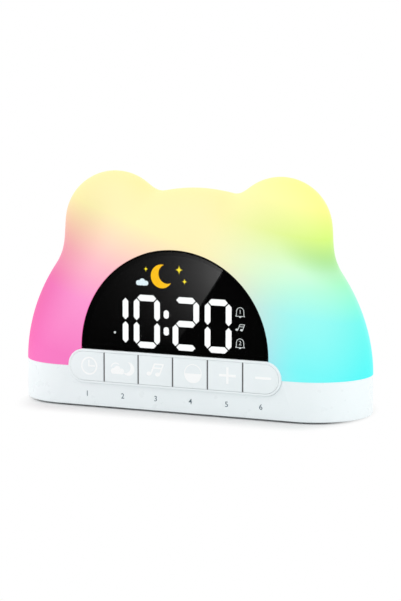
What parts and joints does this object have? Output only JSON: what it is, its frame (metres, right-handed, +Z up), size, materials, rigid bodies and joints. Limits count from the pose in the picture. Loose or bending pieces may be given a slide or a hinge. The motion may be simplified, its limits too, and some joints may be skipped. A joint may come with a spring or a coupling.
{
  "type": "alarm clock with night light",
  "caption": "Bedside alarm clock with a glowing dome and two round ears over a white base, a half-round numeral display and a strip of push keys.",
  "frame": {"origin": "middle of the whole clock, keys included, on the table under its feet", "axes": "+X to the right as the display is read, +Y to the back, +Z up"},
  "size_m": [0.176, 0.0552, 0.1113],
  "materials": {
    "dome": "translucent, satin",
    "white_case": "satin gloss",
    "white_keys": "satin gloss",
    "white_inner": "matt",
    "smoked_lens": "polished",
    "black_plastic": "matt",
    "black_foam": "matt",
    "grey_foam": "matt",
    "foot_rubber": "matt",
    "lit_white": "translucent, lit",
    "unlit": "translucent, unlit",
    "picture_print": "lit print",
    "icon_print": "lit print",
    "green_board": "solder mask",
    "white_board": "white solder mask",
    "led_body": "moulded",
    "screw_steel": "zinc plated",
    "spring_steel": "nickel plated",
    "chip_black": "moulded",
    "capacitor_can": "sleeved",
    "crystal_can": "brushed",
    "ivory_plastic": "moulded",
    "socket_steel": "stamped",
    "speaker_steel": "stamped",
    "speaker_paper": "pressed paper",
    "magnet": "plated",
    "cell_sleeve": "sleeved",
    "lead_jacket": "jacket",
    "lead_jacket_pale": "jacket",
    "ribbon": "flat cable"
  },
  "bodies": {
    "clock": {"dome_diffuser": "dome", "base_shell": "white_case", "bottom_cover": "white_case", "rubber_feet": "foot_rubber", "cover_screws": "screw_steel", "dome_screws": "screw_steel", "display_lens": "smoked_lens", "lens_gasket": "black_foam", "display_housing": "black_plastic", "housing_screws": "screw_steel", "segment_mask": "black_plastic", "lit_segments": "lit_white", "unlit_segments": "unlit", "night_picture": "picture_print", "status_icons": "icon_print", "display_board": "green_board", "digit_leds": "led_body", "key_bezel": "white_keys", "key_switches": "black_plastic", "key_board": "green_board", "key_board_screws": "screw_steel", "light_board": "white_board", "light_leds": "led_body", "light_board_screws": "screw_steel", "light_reflector": "white_inner", "main_board": "green_board", "main_board_screws": "screw_steel", "circuit_chips": "chip_black", "capacitors": "capacitor_can", "crystal": "crystal_can", "connectors": "ivory_plastic", "power_socket": "socket_steel", "speaker_frame": "speaker_steel", "speaker_cone": "speaker_paper", "speaker_magnet": "magnet", "speaker_gasket": "black_foam", "speaker_pad": "grey_foam", "backup_cells": "cell_sleeve", "contact_springs": "spring_steel", "contact_plates": "spring_steel", "speaker_leads": "lead_jacket", "light_leads": "lead_jacket_pale", "display_ribbon": "ribbon"},
    "clock_button": {"clock_key": "white_keys", "clock_plunger": "chip_black"},
    "light_button": {"light_key": "white_keys", "light_plunger": "chip_black"},
    "music_button": {"music_key": "white_keys", "music_plunger": "chip_black"},
    "display_button": {"display_key": "white_keys", "display_plunger": "chip_black"},
    "plus_button": {"plus_key": "white_keys", "plus_plunger": "chip_black"},
    "minus_button": {"minus_key": "white_keys", "minus_plunger": "chip_black"},
    "door": {"battery_door": "white_case", "battery_door_screws": "screw_steel"}
  },
  "joints": [
    {"name": "clock_press", "type": "slide", "parent": "clock", "child": "clock_button", "axis": [0, 1, 0], "range_m": [0, 0.0008], "stiffness_N_per_m": 1800},
    {"name": "light_press", "type": "slide", "parent": "clock", "child": "light_button", "axis": [0, 1, 0], "range_m": [0, 0.0008], "stiffness_N_per_m": 1800},
    {"name": "music_press", "type": "slide", "parent": "clock", "child": "music_button", "axis": [0, 1, 0], "range_m": [0, 0.0008], "stiffness_N_per_m": 1800},
    {"name": "display_press", "type": "slide", "parent": "clock", "child": "display_button", "axis": [0, 1, 0], "range_m": [0, 0.0008], "stiffness_N_per_m": 1800},
    {"name": "plus_press", "type": "slide", "parent": "clock", "child": "plus_button", "axis": [0, 1, 0], "range_m": [0, 0.0008], "stiffness_N_per_m": 1800},
    {"name": "minus_press", "type": "slide", "parent": "clock", "child": "minus_button", "axis": [0, 1, 0], "range_m": [0, 0.0008], "stiffness_N_per_m": 1800},
    {"name": "door_lift_off", "type": "slide", "parent": "clock", "child": "door", "axis": [0, 0, -1], "range_m": [0, 0.03]}
  ]
}
